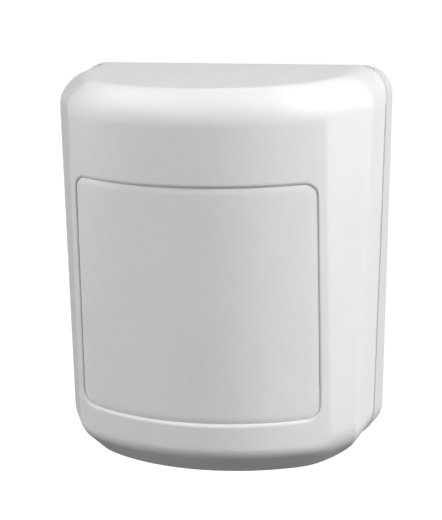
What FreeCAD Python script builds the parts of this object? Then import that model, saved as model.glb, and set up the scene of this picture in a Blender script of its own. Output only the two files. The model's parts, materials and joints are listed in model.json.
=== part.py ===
"""Wall-mounted passive infrared motion sensor: a parametric assembly.

Frame: the origin is the middle of the back face, where the sensor meets the wall.
+X is to the right seen from the front, the front looks along -Y, and +Z is up.
All sizes are millimetres and live in the spreadsheet "dim".
"""
import FreeCAD, Part
import math
import os
import Sketcher
from FreeCAD import Placement, Rotation, Vector

doc = FreeCAD.newDocument("motion_sensor")
sheet = doc.addObject("Spreadsheet::Sheet", "dim")
nodes = []

DRIVING_SIZES = {
    # outer form of the cover
    "bodyHeight": 80.0,
    "widthTop": 69.1,
    "widthFoot": 63.0,
    "sideDraft": 1.57,
    "endDraft": 0.735,
    "frontRadius": 41.5,
    "depthTop": 37.75,
    "depthFoot": 39.6,
    "sideAzimuth": 29.0,
    "sideReachTop": 37.2,
    "sideReachFoot": 38.1,
    "bevelTop": 4.4,
    "bevelTopHigh": 5.5,
    "bevelFoot": 4.6,
    "bevelSideFoot": 5.5,
    "roundTop": 7.0,
    "roundFoot": 7.1,
    "blendTop": 9.0,
    "blendFoot": 3.6,
    "blendSideTop": 5.0,
    "blendSideFoot": 8.0,
    "wall": 2.0,
    "overrun": 5.0,
    "cutPast": 1.0,
    "edgeBreak": 0.4,
    # seam between base and cover, as depths in front of the wall
    "seamTop": 1.8,
    "seamShoulder": 5.1,
    "seamFoot": 7.7,
    "seamShoulderZ": 32.5,
    "seamTopZ": 39.0,
    "farOut": 60.0,
    # base
    "baseProud": 0.48,
    "baseInset": 0.15,
    "baseRound": 6.0,
    "baseDraft": 2.4,
    "baseBackRound": 0.3,
    "basePad": 9.0,
    "hollowTopZ": 37.0,
    "plateThick": 1.8,
    "lipGap": 0.25,
    "lipFootGap": 0.5,
    "lipRound": 5.0,
    "lipThick": 1.2,
    "lipFront": 9.6,
    "lipTopZ": 31.0,
    # cover hooks on the base's top bar
    "hookX": 14.0,
    "hookWidth": 8.0,
    "hookSlotWidth": 9.0,
    "hookBore": 1.7,
    "hookOuter": 2.9,
    "barRadius": 1.5,
    "hookReach": 3.4,
    "hookWrap": 37.0,
    "slotLowZ": 35.2,
    "slotHighZ": 39.0,
    # wall fixing holes
    "wallHole": 4.2,
    "topHoleX": 26.0,
    "topHoleZ": 31.0,
    "footHoleX": 20.0,
    "footHoleZ": -32.6,
    # circuit board
    "boardBack": 9.0,
    "boardThick": 1.6,
    "boardHalf": 27.0,
    "boardLow": -28.5,
    "boardHigh": 36.0,
    "notchX": 21.6,
    "notchZ": 26.0,
    "postX": 23.5,
    "postHighZ": 8.0,
    "postLowZ": -21.0,
    "postWidth": 5.0,
    "postRoot": 1.0,
    "screwBore": 2.3,
    "screwShank": 2.2,
    "screwLength": 6.0,
    "screwReach": 5.5,
    "screwPoint": 0.6,
    "recessLong": 2.4,
    "recessWide": 0.6,
    "recessDeep": 0.9,
    "screwHead": 4.8,
    "screwHeadHigh": 1.7,
    "screwHole": 2.7,
    "pegWidth": 2.4,
    "pegHigh": 1.2,
    # lens window and lens
    "windowHalf": 25.55,
    "windowLow": -27.8,
    "windowHigh": 20.45,
    "windowRound": 2.6,
    "rebateDeep": 1.2,
    "throughHalf": 23.35,
    "lensGap": 0.1,
    "lensRecess": 0.2,
    "lensThick": 0.95,
    "skirtGap": 0.2,
    "skirtThick": 1.0,
    "skirtReach": 3.9,
    "retainerHalf": 25.0,
    "retainerTrim": 2.6,
    "retainerThick": 1.2,
    "retainerGap": 0.05,
    # infrared sensor
    "sensorZ": -3.5,
    "sensorCan": 8.15,
    "sensorFlange": 9.2,
    "canHigh": 4.2,
    "canSkin": 0.3,
    "canRise": 2.2,
    "headerHigh": 0.5,
    "leadWidth": 0.5,
    "leadHole": 0.8,
    "leadRadius": 2.54,
    "leadTail": 1.2,
    "apertureWide": 4.6,
    "apertureHigh": 3.6,
    "filterLap": 0.5,
    "filterThick": 0.5,
    "guardWidth": 13.0,
    "guardHigh": 3.4,
    "guardBore": 9.4,
    "guardSeat": 6.6,
    "ledX": 9.5,
    "ledZ": -12.5,
    "ledWidth": 3.0,
    "ledHigh": 2.6,
    "ledRim": 3.6,
    "ledRimHigh": 0.7,
    # battery and its cradle
    "cellWidth": 17.0,
    "cellLength": 33.6,
    "cellNub": 6.2,
    "cellNubHigh": 0.9,
    "cellEdge": 0.9,
    "cellZ": 27.0,
    "cradleHalf": 20.3,
    "cradleHigh": 12.0,
    "cradleFloor": 0.6,
    "cradleSide": 1.1,
    "cradleBore": 17.5,
    "cradleRoom": 37.4,
    "contactWide": 8.0,
    "contactThick": 0.4,
    "contactFrom": 12.6,
    "contactTo": 24.0,
    "springBow": 2.0,
    "bowStart": 4.0,
    "bowStop": 1.4,
    "bowFlat": 0.7,
    "bowShift": 0.15,
    "touchGap": 0.02,
    # tamper switch
    "tamperX": 23.5,
    "tamperZ": 15.5,
    "tamperBody": 6.0,
    "tamperHigh": 3.6,
    "tamperFloor": 0.5,
    "tamperLid": 0.6,
    "tamperRoom": 4.2,
    "springRest": 0.9,
    "springWire": 0.2,
    "springWidth": 2.6,
    "springTurns": 2.0,
    "plungerWidth": 2.6,
    "plungerFlange": 3.8,
    "plungerFlangeHigh": 0.5,
    "plungerTip": 1.3,
    "slideGap": 0.05,
    "armGap": 0.05,
    "armThick": 3.0,
    "armWide": 3.0,
    "armInnerX": 21.4,
    # learn button and jumper
    "buttonX": -15.0,
    "buttonZ": -23.5,
    "buttonBody": 6.0,
    "buttonHigh": 3.4,
    "buttonCap": 3.4,
    "buttonDeep": 1.0,
    "buttonTravel": 0.3,
    "buttonProud": 1.4,
    "jumperX": 15.0,
    "jumperZ": -23.5,
    "pinPitch": 2.54,
    "pinWidth": 0.64,
    "pinHigh": 8.0,
    "headerBlock": 2.5,
    "pinTail": 1.2,
    "pinHole": 1.0,
    "jumperCapHigh": 5.8,
    # chips and other board parts
    "chipX": -14.0,
    "chipZ": 6.0,
    "chipSide": 8.0,
    "chipHigh": 1.4,
    "chipStand": 0.2,
    "dotWidth": 0.9,
    "dotInset": 1.1,
    "dotDeep": 0.15,
    "chipLeads": 8,
    "chipPitch": 0.9,
    "chipLeadWide": 0.4,
    "chipLeadOut": 1.2,
    "chipLeadThick": 0.2,
    "radioX": 14.0,
    "radioZ": 4.5,
    "radioWide": 11.0,
    "radioTall": 14.0,
    "radioThick": 0.8,
    "shieldSide": 9.6,
    "shieldHigh": 1.8,
    "shieldDrop": 1.6,
    "shieldSkin": 0.25,
    "crystalX": -13.5,
    "crystalZ": -7.5,
    "crystalLong": 10.6,
    "crystalWide": 4.4,
    "crystalHigh": 3.4,
    "crystalRound": 2.15,
    "canCapX": -21.0,
    "canCapZ": -13.5,
    "canCapStep": 6.6,
    "canCapWidth": 5.0,
    "canCapHigh": 7.0,
    "canCapGroove": 1.0,
    "canCapNip": 0.3,
    "chipRowZ": -17.5,
    "chipStep": 3.0,
    "smallLong": 1.6,
    "smallWide": 0.8,
    "smallHigh": 0.5,
    "antennaX": 25.6,
    "antennaLow": -18.0,
    "antennaLong": 22.0,
    "antennaWide": 0.9,
    "antennaRise": 4.0,
    # quarter-turn cover lock in the foot
    "lockY": 13.0,
    "lockShank": 4.0,
    "lockHole": 4.3,
    "lockHead": 8.4,
    "lockHeadHigh": 0.8,
    "lockPocket": 8.8,
    "lockSeat": 1.1,
    "lockSlotLong": 7.6,
    "lockSlotWide": 3.4,
    "lockBarLong": 7.0,
    "lockBarWide": 3.0,
    "lockBarLow": -35.5,
    "lockBarHigh": -33.3,
    "keeperHalf": 6.5,
    "keeperFront": 17.5,
    "keeperLow": -35.7,
    "keeperHigh": -33.0,
    "keeperPocket": 7.8,
    "keeperSlot": 4.6,
    "driveSlot": 1.0,
    "driveReach": 3.0,
    "driveDeep": 1.2,
    "clipGroove": 3.2,
    "clipWidth": 6.8,
    "clipThick": 0.4,
    "clipGap": 0.5,
    "clipSlack": 0.01,
    "clipMouth": 1.2,
}


def fill_sheet():
    """Write every driving size to the sheet, one row each, under its own alias."""
    for row, (alias, number) in enumerate(DRIVING_SIZES.items(), start=1):
        sheet.set("A%d" % row, alias)
        sheet.set("B%d" % row, str(number))
        sheet.setAlias("B%d" % row, alias)
    doc.recompute()


def value(alias):
    """A driving size as a plain number."""
    return float(sheet.get(alias))


# ---------------------------------------------------------------- building blocks

def bind(item, **formulas):
    """Bind properties of an object to sheet formulas."""
    for name, formula in formulas.items():
        item.setExpression(name, formula)


def place(item, x="0", y="0", z="0", turn=None):
    """Put an object at three formulas, optionally turned by a fixed rotation."""
    if turn is not None:
        item.Placement = Placement(Vector(), turn)
    item.setExpression("Placement.Base.x", x)
    item.setExpression("Placement.Base.y", y)
    item.setExpression("Placement.Base.z", z)
    return item


AIM_FRONT = Rotation(Vector(1, 0, 0), 90)     # turns +Z to -Y, towards the front
AIM_RIGHT = Rotation(Vector(0, 1, 0), 90)     # turns +Z to +X


def rod(name, diameter, length, x="0", y="0", z="0", aim=None):
    """Cylinder that starts at a point and runs along +Z, or where aim turns +Z."""
    item = doc.addObject("Part::Cylinder", name)
    bind(item, Radius="(%s) / 2" % diameter, Height=length)
    return place(item, x, y, z, aim)


def box(name, x, y, z):
    """Box between pairs of formulas: x = (low, high), and so on."""
    item = doc.addObject("Part::Box", name)
    bind(item, Length="(%s) - (%s)" % (x[1], x[0]), Width="(%s) - (%s)" % (y[1], y[0]))
    bind(item, Height="(%s) - (%s)" % (z[1], z[0]))
    return place(item, x[0], y[0], z[0])


def fuse(name, *items):
    item = doc.addObject("Part::MultiFuse", name)
    item.Shapes = list(items)
    item.Refine = True
    return item


def common(name, *items):
    item = doc.addObject("Part::MultiCommon", name)
    item.Shapes = list(items)
    return item


def cut(name, base, *tools):
    """Base less all the tools."""
    item = doc.addObject("Part::Cut", name)
    item.Base = base
    item.Tool = tools[0] if len(tools) == 1 else fuse(name + "_tools", *tools)
    return item


def group(name, *items):
    """Several separate solids that belong to one node."""
    item = doc.addObject("Part::Compound", name)
    item.Links = list(items)
    return item


def node(item, label):
    """Name a finished sub-part. The label is also its file name."""
    item.Label = label
    nodes.append(item)
    return item


def new_sketch(body, name, plane, offset="0"):
    """Sketch on one of the body's own origin planes, shifted along its normal."""
    sketch = body.newObject("Sketcher::SketchObject", name)
    origin_plane = [f for f in body.Origin.OriginFeatures if f.Role == plane][0]
    sketch.AttachmentSupport = [(origin_plane, "")]
    sketch.MapMode = "FlatFace"
    sketch.setExpression("AttachmentOffset.Base.z", offset)
    return sketch


def pin(sketch, curve, point, across=None, up=None):
    """Hold one point of a sketch curve at formulas measured from the sketch origin."""
    for kind, formula in (("DistanceX", across), ("DistanceY", up)):
        if formula is None:
            continue
        constraint = Sketcher.Constraint(kind, -1, 1, curve, point, 1.0)
        index = sketch.addConstraint(constraint)
        sketch.setExpression("Constraints[%d]" % index, formula)


def outline(sketch, corners):
    """Closed outline of straight lines through corners given as formula pairs."""
    count = len(corners)
    step = 2 * math.pi / count
    spots = [Vector(math.cos(i * step), math.sin(i * step), 0) for i in range(count)]
    first = sketch.GeometryCount
    for i in range(count):
        sketch.addGeometry(Part.LineSegment(spots[i], spots[(i + 1) % count]))
    for i in range(count):
        following = first + (i + 1) % count
        sketch.addConstraint(Sketcher.Constraint("Coincident", first + i, 2, following, 1))
        pin(sketch, first + i, 1, *corners[i])


def pad(name, corners, length, start="0", plane="XZ_Plane", both=False):
    """Body padded from an outline. On XZ_Plane it grows towards the front, -Y."""
    body = doc.addObject("PartDesign::Body", name)
    sketch = new_sketch(body, name + "_outline", plane, start)
    outline(sketch, corners)
    feature = body.newObject("PartDesign::Pad", name + "_pad")
    feature.Profile = sketch
    feature.Midplane = both
    feature.setExpression("Length", length)
    return body


def turned(name, profile, x="0", y="0", z="0", aim=None):
    """Body turned about its own Z axis from (radius, height) corners."""
    body = doc.addObject("PartDesign::Body", name)
    sketch = new_sketch(body, name + "_profile", "XZ_Plane")
    outline(sketch, profile)
    feature = body.newObject("PartDesign::Revolution", name + "_turn")
    feature.Profile = sketch
    feature.ReferenceAxis = (sketch, ["V_Axis"])
    feature.Angle = 360.0
    return place(body, x, y, z, aim)


def edges_where(shape, test):
    """Names of the edges that pass a test."""
    return ["Edge%d" % (i + 1) for i, edge in enumerate(shape.Edges) if test(edge)]


def dress(body, kind, name, edge_names, size_name, formula):
    """Fillet or chamfer on the body's tip."""
    dressed = body.Tip
    feature = body.newObject("PartDesign::" + kind, name)
    feature.Base = (dressed, edge_names)
    feature.setExpression(size_name, formula)
    return feature


# ---------------------------------------------------------------- outer and inner form

def front_tilt():
    """Rotation that leans the front's axis, because the foot is deeper than the top."""
    lean = math.atan((value("depthFoot") - value("depthTop")) / value("bodyHeight"))
    return Rotation(Vector(1, 0, 0), -math.degrees(lean))


AXIS_Y = "dim.frontRadius - (dim.depthTop + dim.depthFoot) / 2"


def tapered_outline(name, inset):
    """Front view outline padded forward with draft, its four corners rounded."""
    level = "(dim.bodyHeight / 2 - %s)" % inset
    corners = [("-(dim.widthFoot / 2 - %s)" % inset, "-" + level),
               ("dim.widthFoot / 2 - %s" % inset, "-" + level),
               ("dim.widthTop / 2 - %s" % inset, level),
               ("-(dim.widthTop / 2 - %s)" % inset, level)]
    body = pad(name, corners, "dim.farOut")
    body.Tip.setExpression("TaperAngle", "-dim.endDraft")
    doc.recompute()
    for end, sign in (("Top", 1), ("Foot", -1)):
        def corner_edge(edge):
            long_enough = edge.BoundBox.YLength > value("farOut") / 2
            return long_enough and edge.CenterOfMass.z * sign > 0
        names = edges_where(body.Shape, corner_edge)
        dress(body, "Fillet", name + "_round" + end, names, "Radius",
              "dim.round%s - %s" % (end, inset))
        doc.recompute()
    return body


# heights of the top and foot bevels: front, then side strips
FRONT_BEVELS = ("bevelTopHigh", "bevelFoot")
SIDE_BEVELS = ("bevelTop", "bevelSideFoot")


def side_walls(name, inset):
    """Tall block between the two side walls, which draft more than the ends do."""
    past = "(dim.bodyHeight / 2 + dim.overrun)"
    spread = "dim.overrun * (dim.widthTop - dim.widthFoot) / (2 * dim.bodyHeight)"
    foot = "dim.widthFoot / 2 - %s - %s" % (spread, inset)
    top = "dim.widthTop / 2 + %s - %s" % (spread, inset)
    corners = [("-(%s)" % foot, "-" + past), (foot, "-" + past),
               (top, past), ("-(%s)" % top, past)]
    body = pad(name, corners, "dim.farOut")
    body.Tip.setExpression("TaperAngle", "-dim.sideDraft")
    return body


def bevelled_profile(reach_foot, reach_top, inset, bevel_top, bevel_foot):
    """Half profile of a front wall, leaning back at its top and, by 45 degrees, at its foot."""
    lean = "dim.bevelTop / %s" % bevel_top
    high = "(dim.bodyHeight / 2 - %s - %s * tan(atan(%s) / 2))" % (bevel_top, inset, lean)
    low = "(dim.bodyHeight / 2 - %s - %s * (sqrt(2) - 1))" % (bevel_foot, inset)
    past = "dim.bodyHeight / 2 + dim.overrun"
    return [("0", "-(%s)" % past),
            ("%s - (%s - %s)" % (reach_foot, past, low), "-(%s)" % past),
            (reach_foot, "-" + low),
            (reach_top, high),
            ("%s - (%s - %s) * %s" % (reach_top, past, high, lean), past),
            ("0", past)]


def soften_bevels(body, bevels, blend):
    """Blend the two level edges where a front wall meets its bevels."""
    for end, sign, bevel in (("Top", 1, bevels[0]), ("Foot", -1, bevels[1])):
        level = value("bodyHeight") / 2 - value(bevel)

        def bevel_edge(edge):
            flat = edge.BoundBox.ZLength < 0.01
            return flat and abs(edge.CenterOfMass.z * sign - level) < 0.5
        names = edges_where(body.Tip.Shape, bevel_edge)
        dress(body, "Fillet", body.Name + "_blend" + end, names, "Radius", "dim." + blend + end)
        doc.recompute()


def round_front(name, inset):
    """Front wall turned about the leaning axis, with bevelled top and foot."""
    radius = "(dim.frontRadius - %s)" % inset
    profile = bevelled_profile(radius, radius, inset, *("dim." + bevel for bevel in FRONT_BEVELS))
    return turned(name, profile, "0", AXIS_Y, "0", front_tilt())


def side_bevel(name, inset, side):
    """Flat strip between the round front and one side wall."""
    profile = bevelled_profile("(dim.sideReachFoot - %s)" % inset,
                               "(dim.sideReachTop - %s)" % inset, inset,
                               *("dim." + bevel for bevel in SIDE_BEVELS))
    inward = [("-dim.farOut", profile[0][1])] + profile[1:-1] + [("-dim.farOut", profile[-1][1])]
    body = pad(name, inward, "2 * dim.farOut", both=True)
    angle = -value("sideAzimuth") if side > 0 else 180 + value("sideAzimuth")
    body.Placement = Placement(Vector(), Rotation(Vector(0, 0, 1), angle))
    return body


def shell_form(name, inset, blended):
    """Whole form: outline, round front and both side bevels in common."""
    front = round_front(name + "_front", inset)
    right = side_bevel(name + "_right", inset, 1)
    left = side_bevel(name + "_left", inset, -1)
    doc.recompute()
    if blended:
        soften_bevels(front, FRONT_BEVELS, "blend")
        soften_bevels(right, SIDE_BEVELS, "blendSide")
        soften_bevels(left, SIDE_BEVELS, "blendSide")
    outline_form = tapered_outline(name + "_outline", inset)
    return common(name, outline_form, side_walls(name + "_sides", inset), front, right, left)


def build_forms():
    outer = shell_form("cover_form", "0", True)
    inner = shell_form("cavity_form", "dim.wall", False)
    seam = [("-dim.seamTop", "dim.farOut"), ("-dim.seamTop", "dim.seamTopZ"),
            ("-dim.seamShoulder", "dim.seamShoulderZ"),
            ("-dim.seamFoot", "-dim.bodyHeight / 2"), ("-dim.seamFoot", "-dim.farOut"),
            ("-dim.farOut", "-dim.farOut"), ("-dim.farOut", "dim.farOut")]
    front_zone = pad("front_zone", seam, "2 * dim.farOut", plane="YZ_Plane", both=True)
    return outer, inner, front_zone


# ---------------------------------------------------------------- shared positions

BOARD_FRONT = "-(dim.boardBack + dim.boardThick)"
FOOT_Z = "-dim.bodyHeight / 2"
HINGE_Z = "dim.bodyHeight / 2"


def on_board(name, profile, x, z, rise="0"):
    """Part turned about a line square to the board, standing on its front face."""
    return turned(name, profile, x, "%s - (%s)" % (BOARD_FRONT, rise), z, AIM_FRONT)


def board_rod(name, diameter, length, x, z, rise="0"):
    """Cylinder square to the board. A negative rise starts it behind the front face."""
    return rod(name, diameter, length, x, "%s - (%s)" % (BOARD_FRONT, rise), z, AIM_FRONT)


def board_box(name, x, z, wide, tall, high, rise="0"):
    """Box standing on the board's front face, centred at x, z."""
    near = "%s - (%s)" % (BOARD_FRONT, rise)
    return box(name, ("%s - %s / 2" % (x, wide), "%s + %s / 2" % (x, wide)),
               ("%s - (%s)" % (near, high), near),
               ("%s - %s / 2" % (z, tall), "%s + %s / 2" % (z, tall)))


def front_pad(name, half_foot, half_top, low, high, length, start="0", corner=None, draft=None):
    """Upright trapezium seen from the front, padded forward, with rounded corners."""
    corners = [("-(%s)" % half_foot, low), (half_foot, low),
               (half_top, high), ("-(%s)" % half_top, high)]
    body = pad(name, corners, length, start)
    if draft is not None:
        body.Tip.setExpression("TaperAngle", "-" + draft)
    if corner is not None:
        doc.recompute()
        names = edges_where(body.Shape, lambda edge: edge.BoundBox.YLength > 2)
        dress(body, "Fillet", name + "_corners", names, "Radius", corner)
    return body


# ---------------------------------------------------------------- rear base

def half_width(level):
    """Half the width of the back outline at a height, as a formula."""
    slope = "(dim.widthTop - dim.widthFoot) / (2 * dim.bodyHeight)"
    return "(dim.widthTop + dim.widthFoot) / 4 + %s * (%s)" % (slope, level)


def round_back_edges(tray):
    """Round the edge that runs all the way round the back."""
    doc.recompute()
    names = edges_where(tray.Shape, lambda edge: edge.BoundBox.YMin > -0.01)
    dress(tray, "Fillet", "tray_back", names, "Radius", "dim.baseBackRound")


def hook_slot(name, side):
    """Slot in the plate under the bar that a cover hook wraps round."""
    middle = "%s * dim.hookX" % side
    opening = box(name + "_opening",
                  ("%s - dim.hookSlotWidth / 2" % middle, "%s + dim.hookSlotWidth / 2" % middle),
                  ("-dim.plateThick - dim.cutPast", "dim.cutPast"), ("dim.slotLowZ", "dim.slotHighZ"))
    bar = rod(name + "_bar", "2 * dim.barRadius", "dim.hookSlotWidth + 2 * dim.cutPast",
              "%s - dim.hookSlotWidth / 2 - dim.cutPast" % middle, "-dim.seamTop", HINGE_Z, AIM_RIGHT)
    return cut(name, opening, bar)


def board_posts():
    """Four posts behind the board: two take screws and two carry locating pegs."""
    posts, bores = [], []
    for index, (side, level, screwed) in enumerate(POSTS):
        x = "%d * dim.postX" % side
        posts.append(rod("post_%d" % index, "dim.postWidth", "dim.boardBack - dim.postRoot",
                         x, "-dim.postRoot", level, AIM_FRONT))
        if screwed:
            bores.append(rod("post_bore_%d" % index, "dim.screwBore",
                             "dim.screwLength", x, "-dim.boardBack + dim.screwLength - dim.cutPast",
                             level, AIM_FRONT))
        else:
            posts.append(rod("peg_%d" % index, "dim.pegWidth", "dim.pegHigh + dim.postRoot",
                             x, "-dim.boardBack + dim.postRoot", level, AIM_FRONT))
    return posts, bores


POSTS = [(1, "dim.postHighZ", True), (-1, "dim.postHighZ", False),
         (1, "dim.postLowZ", False), (-1, "dim.postLowZ", True)]


def lock_keeper():
    """Block in the foot with a round pocket and a slot open to the front."""
    block = box("keeper_block", ("-dim.keeperHalf", "dim.keeperHalf"),
                ("-dim.keeperFront", "-dim.postRoot"), ("dim.keeperLow", "dim.keeperHigh"))
    through = ("dim.keeperLow - dim.cutPast", "dim.keeperHigh + dim.cutPast")
    pocket = rod("keeper_pocket", "dim.keeperPocket", "%s - (%s)" % (through[1], through[0]),
                 "0", "-dim.lockY", through[0])
    slot = box("keeper_slot", ("-dim.keeperSlot / 2", "dim.keeperSlot / 2"),
               ("-dim.keeperFront - dim.cutPast", "-dim.lockY"), through)
    return block, [pocket, slot]


def rear_base(front_zone):
    level = "(dim.bodyHeight / 2 - dim.baseInset)"
    proud = "dim.baseProud - dim.baseInset"
    tray = front_pad("tray_form", "dim.widthFoot / 2 + " + proud, "dim.widthTop / 2 + " + proud,
                     "-" + level, level, "dim.basePad", corner="dim.baseRound",
                     draft="dim.baseDraft")
    round_back_edges(tray)
    inset = " - (dim.wall + 2 * dim.lipGap)"
    foot = "-(dim.bodyHeight / 2 - dim.wall - dim.lipFootGap)"
    lip = front_pad("lip_form", half_width(foot) + inset, half_width("dim.lipTopZ") + inset,
                    foot, "dim.lipTopZ", "dim.lipFront", corner="dim.lipRound")
    inset += " - dim.lipThick"
    hollow = front_pad("hollow_form", half_width(foot) + inset,
                       half_width("dim.hollowTopZ") + inset, foot + " + dim.lipThick",
                       "dim.hollowTopZ", "dim.farOut", "dim.plateThick",
                       corner="dim.lipRound - dim.lipThick")
    behind_seam = cut("tray_behind_seam", tray, front_zone)
    shell = cut("tray_shell", fuse("tray_and_lip", behind_seam, lip), hollow)
    posts, bores = board_posts()
    block, keeper_cuts = lock_keeper()
    holes = [rod("wall_hole_%s%d" % (end, side), "dim.wallHole", "dim.plateThick + 2 * dim.cutPast",
                 "%d * dim.%sHoleX" % (side, end), "dim.cutPast", "dim.%sHoleZ" % end, AIM_FRONT)
             for end in ("top", "foot") for side in (-1, 1)]
    slots = [hook_slot("hook_slot_left", "-1"), hook_slot("hook_slot_right", "1")]
    solid = fuse("tray_with_posts", shell, block, *posts)
    node(cut("rear_base", solid, *(bores + keeper_cuts + holes + slots)), "rear_base")


# ---------------------------------------------------------------- front cover

def window_block(name, trim, corner=None):
    """Upright prism through the lens window, smaller than it by trim all round."""
    return front_pad(name, "dim.windowHalf - (%s)" % trim, "dim.windowHalf - (%s)" % trim,
                     "dim.windowLow + (%s)" % trim, "dim.windowHigh - (%s)" % trim,
                     "dim.farOut / 2", "dim.farOut / 3",
                     corner=corner or "dim.windowRound - (%s)" % trim)


def front_layer(name, outer, inner="0"):
    """Tube or rod about the leaning axis of the round front."""
    past = "dim.bodyHeight / 2 + dim.overrun"
    profile = [(inner, "-(%s)" % past), (outer, "-(%s)" % past), (outer, past), (inner, past)]
    return turned(name, profile, "0", AXIS_Y, "0", front_tilt())


def cover_hook(name, side):
    """Hook under the cover's top edge, curled back round the base's bar."""
    middle = "%s * dim.hookX" % side
    low, high = middle + " - dim.hookWidth / 2", middle + " + dim.hookWidth / 2"
    tongue = box(name + "_tongue", (low, high), ("-dim.seamTop - dim.hookReach", "-dim.seamTop"),
                 (HINGE_Z + " - dim.hookOuter", HINGE_Z + " - dim.hookBore"))
    curl = rod(name + "_curl", "2 * dim.hookOuter", "dim.hookWidth",
               low, "-dim.seamTop", HINGE_Z, AIM_RIGHT)
    curl.setExpression("Angle", "dim.hookWrap")
    eye = rod(name + "_eye", "2 * dim.hookBore", "dim.hookWidth + 2 * dim.cutPast",
              low + " - dim.cutPast", "-dim.seamTop", HINGE_Z, AIM_RIGHT)
    return fuse(name, tongue, cut(name + "_curl_open", curl, eye))


def tamper_arm(outer_form):
    """Arm from the right side wall that holds the tamper plunger down."""
    rest = "(dim.tamperHigh + dim.plungerTip + dim.armGap)"
    arm = board_box("arm_block", "(dim.armInnerX + dim.farOut / 2)", "dim.tamperZ",
                    "(dim.farOut - 2 * dim.armInnerX)", "dim.armWide", "dim.armThick", rest)
    return common("tamper_arm", arm, outer_form)


def lock_openings():
    """Hole for the lock's shank, its head's pocket, and the slot its bar passes."""
    start = FOOT_Z + " - dim.cutPast"
    spot = ("0", "-dim.lockY", start)
    through = "dim.wall + 2 * dim.cutPast"
    hole = rod("lock_hole", "dim.lockHole", through, *spot)
    pocket = rod("lock_pocket", "dim.lockPocket", "dim.lockSeat + dim.cutPast", *spot)
    slot = doc.addObject("Part::Box", "lock_bar_slot")
    bind(slot, Length="dim.lockSlotLong", Width="dim.lockSlotWide", Height=through)
    half_diagonal = "(dim.lockSlotLong %s dim.lockSlotWide) / 2 * sqrt(0.5)"
    place(slot, "-" + half_diagonal % "-", "-dim.lockY - " + half_diagonal % "+", start,
          Rotation(Vector(0, 0, 1), 45))
    return [hole, pocket, slot]


def front_cover(outer_form, inner_form, front_zone):
    shell = cut("cover_shell", common("cover_outside", outer_form, front_zone), inner_form)
    rebate = cut("window_rebate", window_block("window_block", "0"),
                 front_layer("rebate_floor", "dim.frontRadius - dim.rebateDeep"))
    through = window_block("through_block", "dim.windowHalf - dim.throughHalf")
    fittings = [cover_hook("hook_left", "-1"), cover_hook("hook_right", "1"),
                tamper_arm(outer_form)]
    solid = fuse("cover_with_fittings", shell, *fittings)
    node(cut("front_cover", solid, rebate, through, *lock_openings()), "front_cover")


# ---------------------------------------------------------------- lens and its retainer

def fresnel_lens():
    """Curved panel that fills the window, with a skirt through to the inside."""
    face = "dim.frontRadius - dim.lensRecess"
    back = face + " - dim.lensThick"
    panel = common("lens_panel", window_block("lens_block", "dim.lensGap"),
                   front_layer("panel_layer", face, back))
    reach = "dim.windowHalf - dim.throughHalf + dim.skirtGap"
    ring = cut("skirt_ring", window_block("skirt_block", reach),
               window_block("skirt_core", reach + " + dim.skirtThick", "dim.skirtThick / 2"))
    skirt = common("lens_skirt", ring,
                   front_layer("skirt_layer", back, "dim.frontRadius - dim.skirtReach"))
    node(fuse("fresnel_lens", panel, skirt), "fresnel_lens")


def lens_retainer():
    """Curved frame inside the cover that grips the lens skirt."""
    outer = "dim.frontRadius - dim.wall - dim.retainerGap"
    edge = "(dim.windowHalf - dim.throughHalf)"
    frame = front_pad("retainer_block", "dim.retainerHalf", "dim.retainerHalf",
                      "dim.windowLow + " + edge + " - dim.retainerTrim",
                      "dim.windowHigh - " + edge + " + dim.retainerTrim",
                      "dim.farOut / 2", "dim.farOut / 3", corner="dim.windowRound")
    opening = window_block("retainer_opening", "dim.windowHalf - dim.throughHalf")
    layer = front_layer("retainer_layer", outer, outer + " - dim.retainerThick")
    node(common("lens_retainer", cut("retainer_frame", frame, opening), layer), "lens_retainer")


# ---------------------------------------------------------------- circuit board

def circuit_board():
    corners = [("-dim.boardHalf", "dim.boardLow"), ("dim.boardHalf", "dim.boardLow"),
               ("dim.boardHalf", "dim.notchZ"), ("dim.notchX", "dim.notchZ"),
               ("dim.notchX", "dim.boardHigh"), ("-dim.notchX", "dim.boardHigh"),
               ("-dim.notchX", "dim.notchZ"), ("-dim.boardHalf", "dim.notchZ")]
    plate = pad("board_plate", corners, "dim.boardThick", "dim.boardBack")
    through, behind = "dim.boardThick + 2 * dim.cutPast", "-dim.boardThick - dim.cutPast"
    holes = [board_rod("post_hole_%d" % index, "dim.screwHole", through,
                       "%d * dim.postX" % side, level, behind)
             for index, (side, level, screwed) in enumerate(POSTS)]
    holes += [board_rod("lead_hole_%d" % index, "dim.leadHole", through,
                        x, z, behind)
              for index, (x, z) in enumerate(lead_spots())]
    holes += [board_rod("pin_hole_%d" % index, "dim.pinHole", through,
                        x, "dim.jumperZ", behind)
              for index, x in enumerate(pin_spots())]
    node(cut("circuit_board", plate, *holes), "circuit_board")


def board_screws():
    """Two pan-head screws with cross recesses."""
    screws = []
    for index, (side, level, screwed) in enumerate(POSTS):
        if not screwed:
            continue
        x = "%d * dim.postX" % side
        shank = "dim.screwShank / 2"
        head = "dim.screwHead / 2"
        tip = "-dim.screwReach"
        profile = [("0", tip), (shank + " - dim.screwPoint", tip),
                   (shank, tip + " + dim.screwPoint"), (shank, "0"), (head, "0"),
                   (head, "dim.screwHeadHigh / 2"),
                   (head + " - dim.screwPoint", "dim.screwHeadHigh"), ("0", "dim.screwHeadHigh")]
        blank = on_board("screw_blank_%d" % index, profile, x, level)
        cutter = ("dim.recessDeep + dim.cutPast", "dim.screwHeadHigh - dim.recessDeep")
        across = board_box("screw_across_%d" % index, x, level,
                           "dim.recessLong", "dim.recessWide", *cutter)
        along = board_box("screw_along_%d" % index, x, level,
                          "dim.recessWide", "dim.recessLong", *cutter)
        screws.append(cut("board_screw_%d" % index, blank, across, along))
    node(group("board_screws", *screws), "board_screws")


# ---------------------------------------------------------------- infrared sensor

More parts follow.
